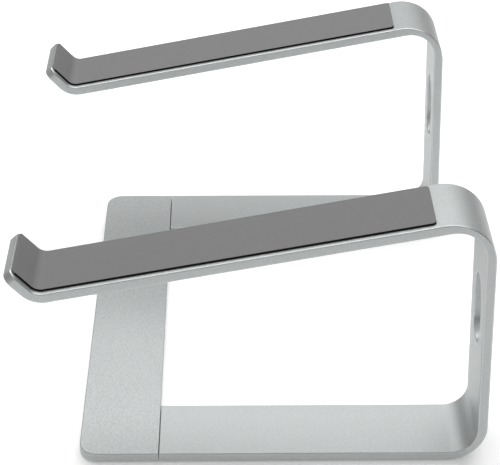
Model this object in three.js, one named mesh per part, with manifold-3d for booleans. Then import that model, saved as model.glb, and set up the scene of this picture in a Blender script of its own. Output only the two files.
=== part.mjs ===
// Laptop stand of bent flat bar: a base plate and two side arms that screw together, in millimetres.
// X runs to the user's right, Y to the rear and Z up. The origin is on the desk, at the centre of the
// stand's outline seen from above. The drawing datum inside the group is the seam between the plate and
// the arms (y = 0) and the underside of the metal (z = 0).

import * as THREE from 'three';
import { mergeVertices } from 'three/addons/utils/BufferGeometryUtils.js';
import Module from 'manifold-3d';

const wasm = await Module();
wasm.setup();

// ---- driving dimensions ----

const standWidth = 260;
const barWidth = 40;
const barThickness = 5.2;
const edgeRadius = 0.7;
const partGap = 0.3;

const plateDepth = 40.9;
const plateCornerRadius = 10;

const lowerBarLength = 167.4;
const uprightLean = 2.1;
const uprightHeight = 145.1;
const topBarSlope = 11.1;
const topBarLength = 222.9;
const lipRise = 47.7;
const lipLength = 17;
const lipCornerRadius = 5;

const lowerBend = { outer: 20, inner: 13.2 };
const upperBend = { outer: 22, inner: 14.2 };
const lipBend = { padSide: 7, underside: 13.8 };

const slotWidth = 20;
const slotLength = 38.5;
const slotCentreHeight = 81;

const tongueLength = 22;
const tongueWidth = 30;
const tongueThickness = 2.5;

const screwSpacing = 17;
const screwSetback = 11.5;
const screwHeadDiameter = 5.6;
const screwHeadHeight = 1.7;
const screwRecess = 0.15;
const screwShankDiameter = 3;
const screwLength = 4.2;
const screwSocketAcross = 2;
const screwSocketDepth = 1.1;

const footDiameter = 12;
const footThickness = 1.6;
const footStandOut = 1;
const footEdgeRadius = 0.3;
const frontFootX = 114;
const frontFootSetback = 31.5;
const rearFootX = 110;
const rearFootSetback = 138;

const padWidth = 34.6;
const padThickness = 1.1;
const padRearSetback = 29.2;
const padLipLength = 16;
const padCornerRadius = 2;
const padEdgeBevel = 0.2;

// ---- tessellation ----

const bendSegments = 12;
const slotSegments = 16;
const roundSegments = 32;
const edgeSegments = 2;
const weldDistance = 1e-4;
const overcut = 5;

// ---- materials ----

const aluminium = new THREE.MeshStandardMaterial({ color: 0xc3c6c7, roughness: 0.42, metalness: 1 });
const silicone = new THREE.MeshStandardMaterial({ color: 0x7d7d7d, roughness: 0.85, metalness: 0 });
const rubber = new THREE.MeshStandardMaterial({ color: 0x2b2b2c, roughness: 0.9, metalness: 0 });
const steel = new THREE.MeshStandardMaterial({ color: 0x8f9193, roughness: 0.35, metalness: 1 });

// ---- solids ----

function toSolid(geometry) {
  const bare = geometry.clone();
  bare.deleteAttribute('normal');
  bare.deleteAttribute('uv');
  const merged = mergeVertices(bare, weldDistance);
  const mesh = new wasm.Mesh({
    numProp: 3,
    vertProperties: new Float32Array(merged.attributes.position.array),
    triVerts: new Uint32Array(merged.index.array),
  });
  return new wasm.Manifold(mesh);
}

function toGeometry(solid) {
  const mesh = solid.getMesh();
  const geometry = new THREE.BufferGeometry();
  geometry.setAttribute('position', new THREE.BufferAttribute(mesh.vertProperties, 3));
  geometry.setIndex(new THREE.BufferAttribute(mesh.triVerts, 1));
  geometry.computeVertexNormals();
  return geometry;
}

function box(low, high) {
  const size = high.map((value, axis) => value - low[axis]);
  const geometry = new THREE.BoxGeometry(...size);
  geometry.translate(...low.map((value, axis) => value + size[axis] / 2));
  return toSolid(geometry);
}

// A solid of revolution about +Z, from [radius, height] pairs that start and end on the axis.
function turned(profile) {
  const points = profile.map(([radius, height]) => new THREE.Vector2(radius, height));
  const geometry = new THREE.LatheGeometry(points, roundSegments);
  geometry.rotateX(Math.PI / 2);
  return toSolid(geometry);
}

function disc(radius, bottom, top) {
  return turned([[0, bottom], [radius, bottom], [radius, top], [0, top]]);
}

// ---- the arm's side profile, in the (y, z) plane ----

const toRadians = THREE.MathUtils.degToRad;

function direction(degrees) {
  return new THREE.Vector2(Math.cos(toRadians(degrees)), Math.sin(toRadians(degrees)));
}

// The left-hand normal: it points from the outside of the bent bar into the C.
function normalOf(heading) {
  return new THREE.Vector2(-heading.y, heading.x);
}

const headings = [
  direction(0),
  direction(90 + uprightLean),
  direction(180 + topBarSlope),
  direction(180 - lipRise),
];

function along(point, heading, distance) {
  return point.clone().addScaledVector(heading, distance);
}

function crossing(pointA, headingA, pointB, headingB) {
  const turn = headingA.cross(headingB);
  const distance = pointB.clone().sub(pointA).cross(headingB) / turn;
  return along(pointA, headingA, distance);
}

// Sharp corners of the outside line of the bar: front end, rear floor corner, rear top corner, lip
// corner and lip end.
function outsideCorners() {
  const frontEnd = new THREE.Vector2(-tongueLength, 0);
  const floorCorner = new THREE.Vector2(lowerBarLength, 0);
  const topCorner = along(floorCorner, headings[1], uprightHeight / headings[1].y);
  const lipCorner = along(topCorner, headings[2], topBarLength);
  const lipEnd = along(lipCorner, headings[3], lipLength);
  return [frontEnd, floorCorner, topCorner, lipCorner, lipEnd];
}

// The same line moved into the C by a distance, or out of it where the distance is negative.
function offsetCorners(corners, distance) {
  const moved = headings.map((heading, leg) => along(corners[leg], normalOf(heading), distance));
  const last = along(corners[4], normalOf(headings[3]), distance);
  const bends = headings.slice(1).map((heading, leg) => (
    crossing(moved[leg], headings[leg], moved[leg + 1], heading)
  ));
  return [moved[0], ...bends, last];
}

// The points of a line whose inner corners are rounded; the ends stay where they are.
function roundedLine(corners, radii) {
  const points = [corners[0]];
  radii.forEach((radius, index) => {
    const [before, corner, after] = corners.slice(index, index + 3);
    const incoming = corner.clone().sub(before).normalize();
    const outgoing = after.clone().sub(corner).normalize();
    const turn = Math.atan2(incoming.cross(outgoing), incoming.dot(outgoing));
    const start = along(corner, incoming, -radius * Math.tan(Math.abs(turn) / 2));
    const centre = along(start, normalOf(incoming), radius * Math.sign(turn));
    for (let step = 0; step <= bendSegments; step += 1) {
      points.push(start.clone().rotateAround(centre, (turn * step) / bendSegments));
    }
  });
  points.push(corners[corners.length - 1]);
  return points;
}

const outerCorners = outsideCorners();
const innerCorners = offsetCorners(outerCorners, barThickness);
const outerLine = roundedLine(outerCorners, [lowerBend.outer, upperBend.outer, lipBend.padSide]);
const innerLine = roundedLine(innerCorners, [lowerBend.inner, upperBend.inner, lipBend.underside]);
const barProfile = [...outerLine, ...innerLine.reverse()];

// A profile in the (y, z) plane, extruded across X and centred on x = 0.
function acrossX(profile, width, bevel) {
  const geometry = new THREE.ExtrudeGeometry(new THREE.Shape(profile), {
    depth: width - 2 * bevel,
    bevelEnabled: bevel > 0,
    bevelThickness: bevel,
    bevelSize: bevel,
    bevelOffset: -bevel,
    bevelSegments: edgeSegments,
  });
  geometry.translate(0, 0, bevel - width / 2);
  const [x, y, z] = [[1, 0, 0], [0, 1, 0], [0, 0, 1]].map((axis) => new THREE.Vector3(...axis));
  geometry.applyMatrix4(new THREE.Matrix4().makeBasis(y, z, x));
  return toSolid(geometry);
}

// ---- cutters ----

// The tool that rounds the two corners of a flat end in plan. It works in a frame whose origin is the
// middle of the end edge, with -Y running back along the bar and Z through its thickness.
function cornerCutter(width, radius) {
  const half = width / 2;
  const tall = 2 * overcut;
  const block = box([-half - overcut, -radius, -overcut], [half + overcut, overcut, overcut]);
  const middle = box([radius - half, -radius - overcut, -tall], [half - radius, 0, tall]);
  const rounds = [-1, 1].map((side) => (
    disc(radius, -tall, tall).translate([side * (half - radius), -radius, 0])
  ));
  return rounds.reduce((cutter, round) => cutter.subtract(round), block.subtract(middle));
}

function placeAtEnd(cutter, end, heading) {
  const turn = THREE.MathUtils.radToDeg(Math.atan2(heading.y, heading.x));
  return cutter.rotate([turn, 0, 0]).translate([0, end.x, end.y]);
}

function slotCutter() {
  const reach = slotLength / 2 - slotWidth / 2;
  const shape = new THREE.Shape();
  shape.absarc(0, reach, slotWidth / 2, 0, Math.PI);
  shape.absarc(0, -reach, slotWidth / 2, Math.PI, 2 * Math.PI);
  const depth = barThickness + 2 * overcut;
  const geometry = new THREE.ExtrudeGeometry(shape, {
    depth,
    bevelEnabled: false,
    curveSegments: slotSegments,
  });
  geometry.translate(0, 0, -depth / 2);
  geometry.rotateX(Math.PI / 2 + toRadians(uprightLean));
  const outside = along(outerCorners[1], headings[1], slotCentreHeight / headings[1].y);
  const middle = along(outside, normalOf(headings[1]), barThickness / 2);
  geometry.translate(0, middle.x, middle.y);
  return toSolid(geometry);
}

function footRecess(x, y) {
  const depth = footThickness - footStandOut + partGap;
  return disc(footDiameter / 2 + partGap, -overcut, depth).translate([x, y, 0]);
}

// Countersunk clearance hole through the tongue, opening downwards.
function screwHole(x, y) {
  const head = screwHeadDiameter / 2 + partGap;
  const shank = screwShankDiameter / 2 + partGap;
  const seat = screwRecess + screwHeadHeight;
  const profile = [[0, -overcut], [head, -overcut], [head, screwRecess], [shank, seat]];
  return turned([...profile, [shank, barThickness + overcut], [0, barThickness + overcut]])
    .translate([x, y, 0]);
}

function threadedHole(x, y) {
  const top = screwRecess + screwLength + partGap;
  return disc(screwShankDiameter / 2 + partGap, -overcut, top).translate([x, y, 0]);
}

const screwPlaces = [-1, 1].map((side) => [(side * screwSpacing) / 2, -screwSetback]);
const armCentreX = (standWidth - barWidth) / 2;

// ---- pieces, each about its own arm's centre line ----

function makeArm() {
  let arm = acrossX(barProfile, barWidth, edgeRadius);
  const seam = partGap / 2;
  const half = barWidth / 2 + overcut;
  const front = -tongueLength - overcut;
  arm = arm.subtract(box([-half, front, tongueThickness], [half, seam, barThickness + overcut]));
  for (const side of [-1, 1]) {
    const edges = [side * half, (side * tongueWidth) / 2].sort((a, b) => a - b);
    arm = arm.subtract(box([edges[0], front, -overcut], [edges[1], seam, barThickness + overcut]));
  }
  for (const [x, y] of screwPlaces) {
    arm = arm.subtract(screwHole(x, y));
  }
  const lipEnd = along(outerCorners[4], normalOf(headings[3]), barThickness / 2);
  arm = arm.subtract(placeAtEnd(cornerCutter(barWidth, lipCornerRadius), lipEnd, headings[3]));
  arm = arm.subtract(slotCutter());
  return toGeometry(arm.subtract(footRecess(0, rearFootSetback)));
}

function plateOutline() {
  const half = standWidth / 2;
  const rear = -partGap / 2;
  const cornerX = half - plateCornerRadius;
  const cornerY = plateCornerRadius - plateDepth;
  const shape = new THREE.Shape();
  shape.moveTo(half, rear);
  shape.lineTo(-half, rear);
  shape.absarc(-cornerX, cornerY, plateCornerRadius, Math.PI, 1.5 * Math.PI);
  shape.absarc(cornerX, cornerY, plateCornerRadius, 1.5 * Math.PI, 2 * Math.PI);
  return shape;
}

function makePlate() {
  const geometry = new THREE.ExtrudeGeometry(plateOutline(), {
    depth: barThickness - 2 * edgeRadius,
    bevelThickness: edgeRadius,
    bevelSize: edgeRadius,
    bevelOffset: -edgeRadius,
    bevelSegments: edgeSegments,
    curveSegments: bendSegments,
  });
  geometry.translate(0, 0, edgeRadius);
  let plate = toSolid(geometry);
  const reach = tongueWidth / 2 + partGap;
  const front = -tongueLength - partGap;
  const ceiling = tongueThickness + partGap;
  for (const side of [-1, 1]) {
    const centre = side * armCentreX;
    plate = plate.subtract(box([centre - reach, front, -overcut], [centre + reach, overcut, ceiling]));
    for (const [x, y] of screwPlaces) {
      plate = plate.subtract(threadedHole(centre + x, y));
    }
    plate = plate.subtract(footRecess(side * frontFootX, -frontFootSetback));
  }
  return toGeometry(plate);
}

// The pad's rear end, lip corner and lip end, at a height above the bar.
function padCorners(height) {
  const rearEnd = along(outerCorners[2], headings[2], padRearSetback);
  const lipEnd = along(outerCorners[3], headings[3], padLipLength);
  return [
    along(rearEnd, normalOf(headings[2]), -height),
    offsetCorners(outerCorners, -height)[3],
    along(lipEnd, normalOf(headings[3]), -height),
  ];
}

function padLine(height) {
  return roundedLine(padCorners(height), [lipBend.padSide - height]);
}

function makePad() {
  const under = padLine(partGap);
  const over = padLine(partGap + padThickness);
  let pad = acrossX([...over, ...under.reverse()], padWidth, padEdgeBevel);
  const cutter = cornerCutter(padWidth, padCornerRadius);
  const [rearEnd, , lipEnd] = padCorners(partGap + padThickness / 2);
  pad = pad.subtract(placeAtEnd(cutter, rearEnd, headings[2].clone().negate()));
  pad = pad.subtract(placeAtEnd(cutter, lipEnd, headings[3]));
  return toGeometry(pad);
}

function makeScrew() {
  const head = screwHeadDiameter / 2;
  const shank = screwShankDiameter / 2;
  const profile = [[0, 0], [head, 0], [shank, screwHeadHeight], [shank, screwLength], [0, screwLength]];
  const body = turned(profile);
  const cornerRadius = screwSocketAcross / Math.sqrt(3);
  const socket = new THREE.CylinderGeometry(cornerRadius, cornerRadius, 2 * screwSocketDepth, 6);
  socket.rotateX(Math.PI / 2);
  return toGeometry(body.subtract(toSolid(socket)));
}

function makeFoot() {
  const radius = footDiameter / 2;
  const bevel = radius - footEdgeRadius;
  const profile = [[0, 0], [bevel, 0], [radius, footEdgeRadius], [radius, footThickness], [0, footThickness]];
  return toGeometry(turned(profile));
}

// ---- assembly ----

const stand = new THREE.Group();
const rearmost = Math.max(...barProfile.map((point) => point.x));
const foremost = Math.min(...barProfile.map((point) => point.x));
stand.position.set(0, -(rearmost + foremost) / 2, footStandOut);

function place(name, geometry, material, x, y, z) {
  const mesh = new THREE.Mesh(geometry, material);
  mesh.name = name;
  mesh.position.set(x, y, z);
  stand.add(mesh);
}

place('base_plate', makePlate(), aluminium, 0, 0, 0);

const armGeometry = makeArm();
const padGeometry = makePad();
const screwGeometry = makeScrew();
const footGeometry = makeFoot();

for (const [hand, side] of [['left', -1], ['right', 1]]) {
  const centre = side * armCentreX;
  place(`${hand}_arm`, armGeometry, aluminium, centre, 0, 0);
  place(`${hand}_pad`, padGeometry, silicone, centre, 0, 0);
  place(`${hand}_front_foot`, footGeometry, rubber, side * frontFootX, -frontFootSetback, -footStandOut);
  place(`${hand}_rear_foot`, footGeometry, rubber, side * rearFootX, rearFootSetback, -footStandOut);
  for (const [x, y] of screwPlaces) {
    const which = Math.sign(x) === side ? 'outer' : 'inner';
    place(`${hand}_${which}_screw`, screwGeometry, steel, centre + x, y, screwRecess);
  }
}

export default stand;
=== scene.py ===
"""Laptop stand of bent flat bar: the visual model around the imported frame.

The drawing's dimensions are in millimetres and every Blender object is in metres. The drawing's datum is
the seam between the plate and the arms (y = 0) and the underside of the metal (z = 0).
"""

import math

import bmesh
import bpy
from mathutils import Matrix, Vector


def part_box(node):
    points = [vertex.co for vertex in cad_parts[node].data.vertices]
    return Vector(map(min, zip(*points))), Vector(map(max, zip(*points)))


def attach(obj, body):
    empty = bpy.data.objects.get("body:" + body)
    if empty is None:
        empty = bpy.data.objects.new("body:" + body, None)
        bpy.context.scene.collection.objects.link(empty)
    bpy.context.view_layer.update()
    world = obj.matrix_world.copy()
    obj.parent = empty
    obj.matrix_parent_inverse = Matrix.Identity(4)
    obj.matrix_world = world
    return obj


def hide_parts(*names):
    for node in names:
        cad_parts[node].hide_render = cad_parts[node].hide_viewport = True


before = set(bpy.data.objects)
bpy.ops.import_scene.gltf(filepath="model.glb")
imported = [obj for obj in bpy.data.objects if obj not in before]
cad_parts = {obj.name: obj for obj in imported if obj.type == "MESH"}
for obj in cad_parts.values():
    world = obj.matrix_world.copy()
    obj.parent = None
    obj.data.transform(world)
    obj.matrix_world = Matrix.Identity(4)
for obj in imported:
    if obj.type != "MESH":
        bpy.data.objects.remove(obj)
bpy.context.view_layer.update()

MM = 0.001

# ---- driving dimensions, in millimetres ----

STAND_WIDTH = 260.0
BAR_WIDTH = 40.0
BAR_THICKNESS = 5.2
EDGE_RADIUS = 0.7
SEAM_EDGE = 0.3
SEAM_GAP = 0.3

PLATE_DEPTH = 40.9
PLATE_CORNER_RADIUS = 10.0

LOWER_BAR_LENGTH = 167.4
UPRIGHT_LEAN = 2.1
UPRIGHT_HEIGHT = 145.1
TOP_BAR_SLOPE = 11.1
TOP_BAR_LENGTH = 222.9
LIP_RISE = 47.7
LIP_LENGTH = 17.0
LIP_CORNER_RADIUS = 5.0

OUTSIDE_BENDS = (20.0, 22.0, 7.0)
INSIDE_BENDS = (13.2, 14.2, 13.8)

SLOT_WIDTH = 20.0
SLOT_LENGTH = 38.5
SLOT_CENTRE_HEIGHT = 81.0

TONGUE_LENGTH = 22.0
TONGUE_WIDTH = 30.0
TONGUE_THICKNESS = 2.5
TONGUE_CORNER_RADIUS = 2.0
TONGUE_ROOT = 3.0
FIT_GAP = 0.3
FLUSH_STEP = 0.02

SCREW_SPACING = 17.0
SCREW_SETBACK = 11.5
SCREW_RECESS = 0.15
SCREW_HEAD_RADIUS = 2.8
SCREW_HEAD_HEIGHT = 1.7
SCREW_HEAD_RIM = 0.15
SCREW_SHANK_RADIUS = 1.5
SCREW_LENGTH = 4.2
SCREW_SOCKET_RADIUS = 2.0 / math.sqrt(3)
SCREW_SOCKET_DEPTH = 1.1
SCREW_SOCKET_TIP_RATIO = 3
THREAD_PITCH = 0.5
THREAD_DEPTH = 0.25

PAD_WIDTH = 34.6
PAD_LIFT = 0.03
PAD_THICKNESS = 1.25
PAD_REAR_SETBACK = 29.2
PAD_LIP_LENGTH = 16.0
PAD_REAR_CORNER = 2.0
PAD_LIP_CORNER = 1.6
PAD_EDGE_RADIUS = 0.18

FOOT_RADIUS = 6.0
FOOT_THICKNESS = 1.6
FOOT_STAND_OUT = 1.0
FOOT_EDGE_RADIUS = 0.4
FRONT_FOOT_X = 114.0
FRONT_FOOT_SETBACK = 31.5
REAR_FOOT_SETBACK = 138.0

# How far a cutting tool runs past the face it enters, and how far the pocket's tool runs past the seam.
CUT_OVERRUN = 1.0
POCKET_OVERRUN = 5.0

# ---- smoothness ----

BEND_STEPS = 20
CORNER_STEPS = 12
SLOT_STEPS = 32
ROUND_STEPS = 64
EDGE_STEPS = 4
SHARP_ANGLE = math.radians(30)
NORMAL_WEIGHT = 90

# The straight run kept between a bend and its nearest square section.
SETTLE = 1.0
# The station at which the upright is square, after the first bend's own stations.
UPRIGHT_STATION = BEND_STEPS + 3

# How much a face's normal points up or down: between these two it gets the edge's material, whose lighter
# tone is a painted highlight. The last
# narrow row of a rounded edge, next to the flat face, is just past them and keeps the face's material.
EDGE_NORMALS = (0.02, 0.98)
# Below this, a face of a grip strip is part of its side, which gets the painted shade.
PAD_SIDE_NORMAL = 0.5

# Two lengths closer than this are the same.
NEAR = 1e-6
BISECT_TOLERANCE = 1e-5
WELD_DIGITS = 6

ARM_CENTRE = (STAND_WIDTH - BAR_WIDTH) / 2
SEAM_FACE = SEAM_GAP / 2

plate_low, plate_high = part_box("base_plate")
DATUM = Vector((0, plate_high[1] + SEAM_FACE * MM, plate_low[2]))


# ---- the side profile, in the (y, z) plane ----

def direction(degrees):
    angle = math.radians(degrees)
    return Vector((math.cos(angle), math.sin(angle)))


def normal_of(heading):
    """The left-hand normal, which points from the outside of the bent bar into the C."""
    return Vector((-heading.y, heading.x))


HEADINGS = [
    direction(0),
    direction(90 + UPRIGHT_LEAN),
    direction(180 + TOP_BAR_SLOPE),
    direction(180 - LIP_RISE),
]


def cross(a, b):
    return a.x * b.y - a.y * b.x


def crossing(point_a, heading_a, point_b, heading_b):
    distance = cross(point_b - point_a, heading_b) / cross(heading_a, heading_b)
    return point_a + heading_a * distance


def outside_corners():
    floor_corner = Vector((LOWER_BAR_LENGTH, 0))
    top_corner = floor_corner + HEADINGS[1] * (UPRIGHT_HEIGHT / HEADINGS[1].y)
    lip_corner = top_corner + HEADINGS[2] * TOP_BAR_LENGTH
    lip_end = lip_corner + HEADINGS[3] * LIP_LENGTH
    return [Vector((SEAM_FACE, 0)), floor_corner, top_corner, lip_corner, lip_end]


def offset_line(corners, headings, distance):
    """The line moved into the C by a distance, or out of it where the distance is negative."""
    moved = [corner + normal_of(heading) * distance for corner, heading in zip(corners, headings)]
    inner = [
        crossing(moved[leg - 1], headings[leg - 1], moved[leg], headings[leg])
        for leg in range(1, len(headings))
    ]
    return [moved[0], *inner, corners[-1] + normal_of(headings[-1]) * distance]


def bend_points(corner, incoming, outgoing, radius):
    turn = math.atan2(cross(incoming, outgoing), incoming.dot(outgoing))
    start = corner - incoming * radius * math.tan(abs(turn) / 2)
    centre = start + normal_of(incoming) * math.copysign(radius, turn)
    arm = start - centre
    steps = [turn * step / BEND_STEPS for step in range(BEND_STEPS + 1)]
    return [centre + Matrix.Rotation(angle, 2) @ arm for angle in steps]


def square_section(lines, leg, heading, distance):
    """The points of both faces that lie at one distance along a straight leg."""
    return [line[leg] + heading * (distance - heading.dot(line[leg])) for line in lines]


def bent_stations(corners, headings, offsets, radii):
    """Stations (length along the strip, point on the first face, point on the second face)."""
    lines = [offset_line(corners, headings, offset) for offset in offsets]
    pairs = [[line[0] for line in lines]]
    for leg in range(len(headings) - 1):
        incoming, outgoing = headings[leg:leg + 2]
        arcs = [
            bend_points(line[leg + 1], incoming, outgoing, face_radii[leg])
            for line, face_radii in zip(lines, radii)
        ]
        before = min(incoming.dot(arc[0]) for arc in arcs) - SETTLE
        after = max(outgoing.dot(arc[-1]) for arc in arcs) + SETTLE
        pairs.append(square_section(lines, leg, incoming, before))
        pairs += [list(pair) for pair in zip(*arcs)]
        pairs.append(square_section(lines, leg + 1, outgoing, after))
    pairs.append([line[-1] for line in lines])
    stations = [(0.0, *pairs[0])]
    for first, second in pairs[1:]:
        length, last_first, last_second = stations[-1]
        step = ((first + second) / 2 - (last_first + last_second) / 2).length
        stations.append((length + step, first, second))
    return stations


# ---- flat strips that are then bent ----

def corner_arc(centre_x, centre_u, radius, start, end, steps):
    if radius == 0:
        return [(centre_x, centre_u)]
    angles = [math.radians(start + (end - start) * step / steps) for step in range(steps + 1)]
    return [(centre_x + radius * math.cos(a), centre_u + radius * math.sin(a)) for a in angles]


def right_half(width, length, start_radius, end_radius, slot_centre):
    """The outline of a strip's x >= 0 half, anticlockwise, with half of its slot if it has one."""
    half = width / 2
    points = [(0.0, 0.0)]
    points += corner_arc(half - start_radius, start_radius, start_radius, -90, 0, CORNER_STEPS)
    points += corner_arc(half - end_radius, length - end_radius, end_radius, 0, 90, CORNER_STEPS)
    points.append((0.0, length))
    if slot_centre is not None:
        reach = (SLOT_LENGTH - SLOT_WIDTH) / 2
        radius = SLOT_WIDTH / 2
        quarter = SLOT_STEPS // 2
        points += corner_arc(0, slot_centre + reach, radius, 90, 0, quarter)
        points += corner_arc(0, slot_centre - reach, radius, 0, -90, quarter)
    return [(0.0 if abs(x) < NEAR else x, u) for x, u in points]


def flat_strip(width, length, thickness, radii=(0, 0), slot_centre=None):
    """A flat plate: x across, y along from 0 to length, z from 0 to thickness."""
    mesh = bmesh.new()
    found = {}

    def vertex(x, u, w):
        key = (round(x, WELD_DIGITS), round(u, WELD_DIGITS), w)
        if key not in found:
            found[key] = mesh.verts.new((x, u, w))
        return found[key]

    outline = right_half(width, length, *radii, slot_centre)
    for loop in (outline, [(-x, u) for x, u in reversed(outline)]):
        mesh.faces.new([vertex(x, u, thickness) for x, u in loop])
        mesh.faces.new([vertex(x, u, 0) for x, u in reversed(loop)])
        for (x1, u1), (x2, u2) in zip(loop, loop[1:] + loop[:1]):
            on_middle_line = x1 == 0 and x2 == 0
            if not on_middle_line:
                ring = ((x1, u1, 0), (x2, u2, 0), (x2, u2, thickness), (x1, u1, thickness))
                mesh.faces.new([vertex(*corner) for corner in ring])
    return mesh


def round_edges(mesh, radius, small_edges=lambda y: False, small=1.0):
    """Rounds every sharp edge; edges whose middle passes the test get a smaller radius."""
    bmesh.ops.recalc_face_normals(mesh, faces=mesh.faces)
    weight = mesh.edges.layers.float.new("bevel_weight_edge")
    for edge in mesh.edges:
        if edge.calc_face_angle(0) > SHARP_ANGLE:
            middle = (edge.verts[0].co.y + edge.verts[1].co.y) / 2
            edge[weight] = small / radius if small_edges(middle) else 1.0
    piece = to_object("rounding", mesh)
    rounding = piece.modifiers.new("edges", "BEVEL")
    rounding.limit_method = "WEIGHT"
    rounding.width = radius
    rounding.segments = EDGE_STEPS
    mesh = taken_back(piece)
    mesh.normal_update()
    return mesh


def mark_edges(mesh):
    """Gives a flat strip's rounded edges the second material, lighter in tone as a painted highlight,
    before the strip is bent.
    """
    for face in mesh.faces:
        face.material_index = int(EDGE_NORMALS[0] < abs(face.normal.z) < EDGE_NORMALS[1])


def bend(mesh, stations, thickness):
    """Moves a flat strip onto its bent shape, with a row of vertices at each station."""
    for length, _, _ in stations[1:-1]:
        parts = mesh.verts[:] + mesh.edges[:] + mesh.faces[:]
        bmesh.ops.bisect_plane(
            mesh, geom=parts, dist=BISECT_TOLERANCE, plane_co=(0, length, 0), plane_no=(0, 1, 0)
        )
    for vertex in mesh.verts:
        x, u, w = vertex.co
        index = max(1, next((i for i, s in enumerate(stations) if s[0] >= u), len(stations) - 1))
        (u0, low0, high0), (u1, low1, high1) = stations[index - 1:index + 1]
        share = (u - u0) / (u1 - u0)
        low = low0.lerp(low1, share)
        high = high0.lerp(high1, share)
        point = low + (high - low) * (w / thickness)
        vertex.co = (x, point.x, point.y)


# ---- meshes, objects and cuts ----

def to_object(name, mesh):
    bmesh.ops.recalc_face_normals(mesh, faces=mesh.faces)
    data = bpy.data.meshes.new(name)
    mesh.to_mesh(data)
    mesh.free()
    piece = bpy.data.objects.new(name, data)
    bpy.context.scene.collection.objects.link(piece)
    return piece


def taken_back(piece):
    """The object's mesh with its modifiers applied, as a bmesh; the object is removed."""
    bpy.context.view_layer.update()
    evaluated = piece.evaluated_get(bpy.context.evaluated_depsgraph_get())
    mesh = bmesh.new()
    mesh.from_mesh(evaluated.to_mesh())
    data = piece.data
    bpy.data.objects.remove(piece)
    bpy.data.meshes.remove(data)
    return mesh


def combined(mesh, tool, operation):
    piece = to_object("body", mesh)
    other = to_object("tool", tool)
    for part in (piece, other):
        part.data.materials.append(None)
        part.data.materials.append(None)
    step = piece.modifiers.new(operation, "BOOLEAN")
    step.operation = operation
    step.solver = "EXACT"
    step.object = other
    result = taken_back(piece)
    data = other.data
    bpy.data.objects.remove(other)
    bpy.data.meshes.remove(data)
    return result


def turned(profile, place=(0, 0, 0), steps=ROUND_STEPS):
    """A solid of revolution about Z from (radius, height) pairs that start and end on the axis."""
    mesh = bmesh.new()
    rings = []
    for radius, height in profile:
        if radius == 0:
            rings.append([mesh.verts.new((0, 0, height))])
            continue
        angles = [2 * math.pi * step / steps for step in range(steps)]
        rings.append([mesh.verts.new((radius * math.cos(a), radius * math.sin(a), height)) for a in angles])
    for lower, upper in zip(rings, rings[1:]):
        for step in range(steps):
            after = (step + 1) % steps
            corners = [lower[step % len(lower)], lower[after % len(lower)]]
            corners += [upper[after % len(upper)], upper[step % len(upper)]]
            mesh.faces.new(list(dict.fromkeys(corners)))
    bmesh.ops.recalc_face_normals(mesh, faces=mesh.faces)
    bmesh.ops.translate(mesh, verts=mesh.verts, vec=place)
    return mesh


def moved(mesh, x, y, z=0.0):
    bmesh.ops.translate(mesh, verts=mesh.verts, vec=(x, y, z))
    return mesh


def finished(name, mesh, node, materials, place=(0, 0, 0)):
    """Turns millimetres about the datum into metres, and hands the smooth-shaded piece to the frame."""
    bmesh.ops.translate(mesh, verts=mesh.verts, vec=place)
    bmesh.ops.scale(mesh, verts=mesh.verts, vec=(MM, MM, MM))
    bmesh.ops.translate(mesh, verts=mesh.verts, vec=DATUM)
    bmesh.ops.recalc_face_normals(mesh, faces=mesh.faces)
    for edge in mesh.edges:
        edge.smooth = edge.calc_face_angle(0) < SHARP_ANGLE
    for face in mesh.faces:
        face.smooth = True
    piece = to_object(name, mesh)
    smoothing = piece.modifiers.new("normals", "WEIGHTED_NORMAL")
    smoothing.keep_sharp = True
    smoothing.weight = NORMAL_WEIGHT
    for material in materials:
        piece.data.materials.append(material)
    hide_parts(node)
    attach(piece, "root")
    return piece


# ---- materials ----

# Noise rarely leaves this range, so it is what the colours and numbers are spread over.
NOISE_RANGE = (0.3, 0.7)
COOL_TINT = (0.965, 1.0, 0.998)
ALUMINIUM_ROUGHNESS_SWING = 0.03


def new_material(name):
    material = bpy.data.materials.new(name)
    material.use_nodes = True
    tree = material.node_tree
    shader = next(node for node in tree.nodes if node.type == "BSDF_PRINCIPLED")
    place = tree.nodes.new("ShaderNodeTexCoord")
    return material, tree, shader, place.outputs["Object"]


def noise(tree, place, scale, detail, roughness=0.5):
    node = tree.nodes.new("ShaderNodeTexNoise")
    node.inputs["Scale"].default_value = scale
    node.inputs["Detail"].default_value = detail
    node.inputs["Roughness"].default_value = roughness
    tree.links.new(place, node.inputs["Vector"])
    return node.outputs["Fac"]


def two_tone(tree, factor, low_color, high_color):
    """Turns noise into colours between two."""
    node = tree.nodes.new("ShaderNodeValToRGB")
    for element, position, color in zip(node.color_ramp.elements, NOISE_RANGE, (low_color, high_color)):
        element.position = position
        element.color = color
    tree.links.new(factor, node.inputs["Fac"])
    return node.outputs["Color"]


def spread(tree, factor, low, high):
    """Turns noise into numbers between two."""
    node = tree.nodes.new("ShaderNodeMapRange")
    node.inputs["From Min"].default_value = NOISE_RANGE[0]
    node.inputs["From Max"].default_value = NOISE_RANGE[1]
    node.inputs["To Min"].default_value = low
    node.inputs["To Max"].default_value = high
    tree.links.new(factor, node.inputs["Value"])
    return node.outputs["Result"]


def bump(tree, shader, height, distance, strength):
    node = tree.nodes.new("ShaderNodeBump")
    node.inputs["Distance"].default_value = distance
    node.inputs["Strength"].default_value = strength
    tree.links.new(height, node.inputs["Height"])
    tree.links.new(node.outputs["Normal"], shader.inputs["Normal"])


def grey(value, tint=(1.0, 1.0, 1.0)):
    return (value * tint[0], value * tint[1], value * tint[2], 1.0)


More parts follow.
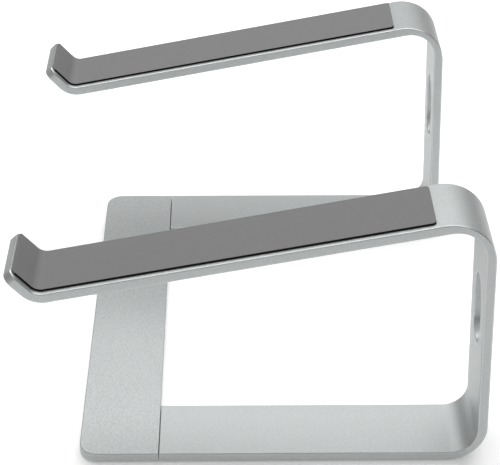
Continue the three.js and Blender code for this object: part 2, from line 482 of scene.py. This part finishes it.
def make_aluminium(name, tone, contrast, roughness, relief):
    """The tone varies by the contrast either way; the relief is the strength of the blasted grain."""
    material, tree, shader, place = new_material(name)
    grain = noise(tree, place, scale=1000, detail=4, roughness=0.65)
    low, high = (grey(tone + side * contrast, COOL_TINT) for side in (-1, 1))
    tree.links.new(two_tone(tree, grain, low, high), shader.inputs["Base Color"])
    cloud = noise(tree, place, scale=500, detail=3)
    low, high = (roughness + side * ALUMINIUM_ROUGHNESS_SWING for side in (-1, 1))
    tree.links.new(spread(tree, cloud, low, high), shader.inputs["Roughness"])
    shader.inputs["Metallic"].default_value = 0.75
    bump(tree, shader, grain, distance=0.00004, strength=relief)
    return material


# Painted shade: the near-black sides of the grip strips stand in for the shadow between strip and bar.
def make_pad_side_shade():
    material, tree, shader, place = new_material("painted_shade_pad_side")
    fine = noise(tree, place, scale=2600, detail=3)
    tree.links.new(two_tone(tree, fine, grey(0.006), grey(0.012)), shader.inputs["Base Color"])
    tree.links.new(spread(tree, fine, 0.8, 0.95), shader.inputs["Roughness"])
    shader.inputs["Specular IOR Level"].default_value = 0.15
    bump(tree, shader, fine, distance=0.00002, strength=0.4)
    return material


def make_silicone():
    material, tree, shader, place = new_material("grey_silicone")
    fine = noise(tree, place, scale=2600, detail=3)
    cloud = noise(tree, place, scale=300, detail=4)
    tree.links.new(two_tone(tree, cloud, grey(0.178), grey(0.186)), shader.inputs["Base Color"])
    tree.links.new(spread(tree, fine, 0.78, 0.9), shader.inputs["Roughness"])
    shader.inputs["Specular IOR Level"].default_value = 0.3
    bump(tree, shader, fine, distance=0.00002, strength=0.4)
    return material


def make_rubber():
    material, tree, shader, place = new_material("black_rubber")
    fine = noise(tree, place, scale=1800, detail=4)
    tree.links.new(two_tone(tree, fine, grey(0.018), grey(0.03)), shader.inputs["Base Color"])
    tree.links.new(spread(tree, fine, 0.7, 0.9), shader.inputs["Roughness"])
    bump(tree, shader, fine, distance=0.00005, strength=0.5)
    return material


def make_steel():
    material, tree, shader, place = new_material("plated_steel")
    fine = noise(tree, place, scale=1500, detail=3)
    tree.links.new(two_tone(tree, fine, grey(0.42), grey(0.52)), shader.inputs["Base Color"])
    tree.links.new(spread(tree, fine, 0.25, 0.4), shader.inputs["Roughness"])
    shader.inputs["Metallic"].default_value = 1.0
    bump(tree, shader, fine, distance=0.00002, strength=0.3)
    return material


# ---- pieces ----

def round_cutter(radius, depth, x, y):
    profile = [(0, -CUT_OVERRUN), (radius, -CUT_OVERRUN), (radius, depth), (0, depth)]
    return turned(profile, (x, y, 0))


def foot_recess(x, y):
    depth = FOOT_THICKNESS - FOOT_STAND_OUT + FIT_GAP
    radius = FOOT_RADIUS + FIT_GAP
    return round_cutter(radius, depth, x, y)


def screw_places():
    return [(side * SCREW_SPACING / 2, -SCREW_SETBACK) for side in (-1, 1)]


def countersunk_hole(x, y):
    head = SCREW_HEAD_RADIUS + FIT_GAP
    shank = SCREW_SHANK_RADIUS + FIT_GAP
    top = TONGUE_THICKNESS + CUT_OVERRUN
    seat = SCREW_RECESS + SCREW_HEAD_HEIGHT
    start = [(0, -CUT_OVERRUN), (head, -CUT_OVERRUN)]
    return turned([*start, (head, SCREW_RECESS), (shank, seat), (shank, top), (0, top)], (x, y, 0))


def make_tongue():
    length = TONGUE_LENGTH + TONGUE_ROOT
    tongue = flat_strip(TONGUE_WIDTH, length, TONGUE_THICKNESS - FLUSH_STEP, (TONGUE_CORNER_RADIUS, 0))
    return moved(tongue, 0, -TONGUE_LENGTH, FLUSH_STEP)


def tongue_pocket(centre):
    width = TONGUE_WIDTH + 2 * FIT_GAP
    depth = TONGUE_THICKNESS + FIT_GAP + CUT_OVERRUN
    pocket = flat_strip(width, TONGUE_LENGTH + POCKET_OVERRUN, depth, (TONGUE_CORNER_RADIUS, 0))
    return moved(pocket, centre, -TONGUE_LENGTH - FIT_GAP, -CUT_OVERRUN)


def make_arm():
    corners = outside_corners()
    stations = bent_stations(corners, HEADINGS, (0, BAR_THICKNESS), (OUTSIDE_BENDS, INSIDE_BENDS))
    square = stations[UPRIGHT_STATION]
    slot_distance = SLOT_CENTRE_HEIGHT / HEADINGS[1].y - HEADINGS[1].dot(square[1] - corners[1])
    length = stations[-1][0]
    mesh = flat_strip(BAR_WIDTH, length, BAR_THICKNESS, (0, LIP_CORNER_RADIUS), square[0] + slot_distance)
    mesh = round_edges(mesh, EDGE_RADIUS, lambda y: y < NEAR, SEAM_EDGE)
    mark_edges(mesh)
    bend(mesh, stations, BAR_THICKNESS)
    mesh = combined(mesh, make_tongue(), "UNION")
    for x, y in screw_places():
        mesh = combined(mesh, countersunk_hole(x, y), "DIFFERENCE")
    return combined(mesh, foot_recess(0, REAR_FOOT_SETBACK), "DIFFERENCE")


def make_plate():
    length = PLATE_DEPTH - SEAM_FACE
    mesh = flat_strip(STAND_WIDTH, length, BAR_THICKNESS, (PLATE_CORNER_RADIUS, 0))
    mesh = round_edges(mesh, EDGE_RADIUS, lambda y: y > length - NEAR, SEAM_EDGE)
    mark_edges(mesh)
    moved(mesh, 0, -PLATE_DEPTH)
    for side in (-1, 1):
        centre = side * ARM_CENTRE
        mesh = combined(mesh, tongue_pocket(centre), "DIFFERENCE")
        for x, y in screw_places():
            depth = SCREW_RECESS + SCREW_LENGTH + FIT_GAP
            hole = round_cutter(SCREW_SHANK_RADIUS + FIT_GAP, depth, centre + x, y)
            mesh = combined(mesh, hole, "DIFFERENCE")
        mesh = combined(mesh, foot_recess(side * FRONT_FOOT_X, -FRONT_FOOT_SETBACK), "DIFFERENCE")
    return mesh


def make_pad():
    """The sides of the strip get a near-black painted shade, except round the tip of the lip."""
    corners = outside_corners()
    rear = corners[2] + HEADINGS[2] * PAD_REAR_SETBACK
    end = corners[3] + HEADINGS[3] * PAD_LIP_LENGTH
    offsets = (-PAD_LIFT, -PAD_LIFT - PAD_THICKNESS)
    radii = [[OUTSIDE_BENDS[2] + offset] for offset in offsets]
    stations = bent_stations([rear, corners[3], end], HEADINGS[2:], offsets, radii)
    mesh = flat_strip(PAD_WIDTH, stations[-1][0], PAD_THICKNESS, (PAD_REAR_CORNER, PAD_LIP_CORNER))
    mesh = round_edges(mesh, PAD_EDGE_RADIUS)
    for face in mesh.faces:
        face.material_index = int(abs(face.normal.z) < PAD_SIDE_NORMAL)
    bend(mesh, stations, PAD_THICKNESS)
    # Round the tip of the lip the sides keep the grey silicone, without the painted shade.
    for face in mesh.faces:
        place = Vector(face.calc_center_median()[1:])
        if HEADINGS[3].dot(place - corners[3]) > PAD_LIP_LENGTH - PAD_LIP_CORNER:
            face.material_index = 0
    return mesh


def make_foot():
    arc = [math.radians(90 * step / EDGE_STEPS) for step in range(EDGE_STEPS + 1)]
    centre = FOOT_RADIUS - FOOT_EDGE_RADIUS
    edge = [
        (centre + FOOT_EDGE_RADIUS * math.sin(a), FOOT_EDGE_RADIUS * (1 - math.cos(a)))
        for a in arc
    ]
    return turned([(0, 0), *edge, (FOOT_RADIUS, FOOT_THICKNESS), (0, FOOT_THICKNESS)])


def hexagon_cutter():
    radius = SCREW_SOCKET_RADIUS
    tip = SCREW_SOCKET_DEPTH + radius / SCREW_SOCKET_TIP_RATIO
    sides = [(radius, -CUT_OVERRUN), (radius, SCREW_SOCKET_DEPTH)]
    return turned([(0, -CUT_OVERRUN), *sides, (0, tip)], steps=6)


def make_screw():
    rim = SCREW_HEAD_RADIUS - SCREW_HEAD_RIM
    profile = [(0, 0), (rim, 0), (SCREW_HEAD_RADIUS, SCREW_HEAD_RIM)]
    profile.append((SCREW_SHANK_RADIUS, SCREW_HEAD_HEIGHT))
    root = SCREW_SHANK_RADIUS - THREAD_DEPTH
    height = SCREW_HEAD_HEIGHT
    while height + THREAD_PITCH < SCREW_LENGTH:
        profile += [(root, height + THREAD_PITCH / 2), (SCREW_SHANK_RADIUS, height + THREAD_PITCH)]
        height += THREAD_PITCH
    body = turned([*profile, (root, SCREW_LENGTH), (0, SCREW_LENGTH)])
    return combined(body, hexagon_cutter(), "DIFFERENCE")


def build_stand():
    # The edge material's lighter tone is a painted highlight along the rounded edges; its lower roughness
    # makes the edges glossier.
    edge = make_aluminium("polished_edge_painted_highlight", tone=0.55, contrast=0.02, roughness=0.3, relief=0.12)
    blasted = make_aluminium("blasted_aluminium", tone=0.5, contrast=0.085, roughness=0.5, relief=0.5)
    anodised = make_aluminium("anodised_aluminium", tone=0.51, contrast=0.045, roughness=0.5, relief=0.4)
    silicone = [make_silicone(), make_pad_side_shade()]
    rubber = [make_rubber()]
    steel = [make_steel()]
    finished("plate", make_plate(), "base_plate", [blasted, edge])
    for hand, side in (("left", -1), ("right", 1)):
        centre = side * ARM_CENTRE
        finished(f"{hand}_bar", make_arm(), f"{hand}_arm", [anodised, edge], (centre, 0, 0))
        finished(f"{hand}_grip_strip", make_pad(), f"{hand}_pad", silicone, (centre, 0, 0))
        feet = {"front": (side * FRONT_FOOT_X, -FRONT_FOOT_SETBACK), "rear": (centre, REAR_FOOT_SETBACK)}
        for end, (x, y) in feet.items():
            place = (x, y, -FOOT_STAND_OUT)
            node = f"{hand}_{end}_foot"
            finished(f"{hand}_{end}_rubber_foot", make_foot(), node, rubber, place)
        for x, y in screw_places():
            which = "outer" if x * side > 0 else "inner"
            node = f"{hand}_{which}_screw"
            finished(f"{node}_m3", make_screw(), node, steel, (centre + x, y, SCREW_RECESS))


# ---- floor, lights and camera ----

# In metres, apart from the lens and the sensor, which are in millimetres.
CAMERA_PLACE = Vector((0.77164, -0.01324, 0.53473))
CAMERA_ELEVATION = math.radians(31.5)
CAMERA_HEADING = math.radians(-0.7)
CAMERA_ROLL = math.radians(0.15)
CAMERA_LENS = 116.41
CAMERA_SHIFT = (0.01672, -0.01157)
CAMERA_SENSOR = 36
CAMERA_CLIP = (0.01, 20)

FLOOR_HALF_SIZE = 6
# Just under the feet, so that the two faces don't share a plane.
FLOOR_HEIGHT = -0.00005
FLOOR_TONE = 0.95
FLOOR_GLOW = 0.2
SKY_STRENGTH = 0.06

CEILING_HEIGHT = 1.4
CEILING_PANEL = (0.8, 2.4)
END_PANEL = (2.4, 0.4)
SIDE_PANEL = (3.2, 0.4)
DOWN = (0, 0, -1)
# Each softbox: place, way it faces, size and power in watts.
SOFTBOXES = {
    "ceiling_far": ((-1.2, 0, CEILING_HEIGHT), DOWN, CEILING_PANEL, 10.3),
    "ceiling_near": ((-0.4, 0, CEILING_HEIGHT), DOWN, CEILING_PANEL, 22.5),
    "ceiling_mid": ((0.4, 0, CEILING_HEIGHT), DOWN, CEILING_PANEL, 4.0),
    "ceiling_front": ((1.2, 0, CEILING_HEIGHT), DOWN, CEILING_PANEL, 6.0),
    "back_wall": ((-1.6, 0, 0.6), (1, 0, 0), END_PANEL, 1.2),
    "front_wall": ((1.6, 0, 1.0), (-1, 0, 0), END_PANEL, 1.5),
    "side_wall": ((0, -1.2, 0.6), (0, 1, 0), SIDE_PANEL, 0.8),
}


def make_camera():
    data = bpy.data.cameras.new("camera")
    data.sensor_width = CAMERA_SENSOR
    data.sensor_fit = "HORIZONTAL"
    data.lens = CAMERA_LENS
    data.shift_x, data.shift_y = CAMERA_SHIFT
    data.clip_start, data.clip_end = CAMERA_CLIP
    camera = bpy.data.objects.new("camera", data)
    level = math.cos(CAMERA_ELEVATION)
    forward = Vector((
        -level * math.cos(CAMERA_HEADING),
        -level * math.sin(CAMERA_HEADING),
        -math.sin(CAMERA_ELEVATION),
    ))
    right = forward.cross(Vector((0, 0, 1))).normalized()
    up = right.cross(forward)
    right, up = (
        right * math.cos(CAMERA_ROLL) + up * math.sin(CAMERA_ROLL),
        up * math.cos(CAMERA_ROLL) - right * math.sin(CAMERA_ROLL),
    )
    turn = Matrix((right, up, -forward)).transposed().to_4x4()
    camera.matrix_world = Matrix.Translation(CAMERA_PLACE) @ turn
    bpy.context.scene.collection.objects.link(camera)
    bpy.context.scene.camera = camera


def make_floor():
    mesh = bmesh.new()
    bmesh.ops.create_grid(mesh, x_segments=1, y_segments=1, size=FLOOR_HALF_SIZE)
    floor = to_object("floor", moved(mesh, 0, 0, FLOOR_HEIGHT))
    material, _, shader, _ = new_material("pale_floor")
    shader.inputs["Base Color"].default_value = grey(FLOOR_TONE)
    shader.inputs["Roughness"].default_value = 0.9
    shader.inputs["Specular IOR Level"].default_value = 0.0
    shader.inputs["Emission Color"].default_value = grey(1.0)
    shader.inputs["Emission Strength"].default_value = FLOOR_GLOW
    floor.data.materials.append(material)


def area_light(name, place, way, size, power):
    data = bpy.data.lights.new(name, "AREA")
    data.shape = "RECTANGLE"
    data.size, data.size_y = size
    data.energy = power
    light = bpy.data.objects.new(name, data)
    light.location = place
    if way != DOWN:
        light.rotation_euler = Vector(way).to_track_quat("-Z", "Y").to_euler()
    bpy.context.scene.collection.objects.link(light)


def make_lights():
    world = bpy.data.worlds.new("studio")
    world.use_nodes = True
    background = world.node_tree.nodes["Background"]
    background.inputs["Color"].default_value = grey(1.0)
    background.inputs["Strength"].default_value = SKY_STRENGTH
    bpy.context.scene.world = world
    for name, (place, way, size, power) in SOFTBOXES.items():
        area_light(name, place, way, size, power)
    bpy.context.scene.view_settings.view_transform = "Standard"


make_camera()
make_floor()
make_lights()
build_stand()
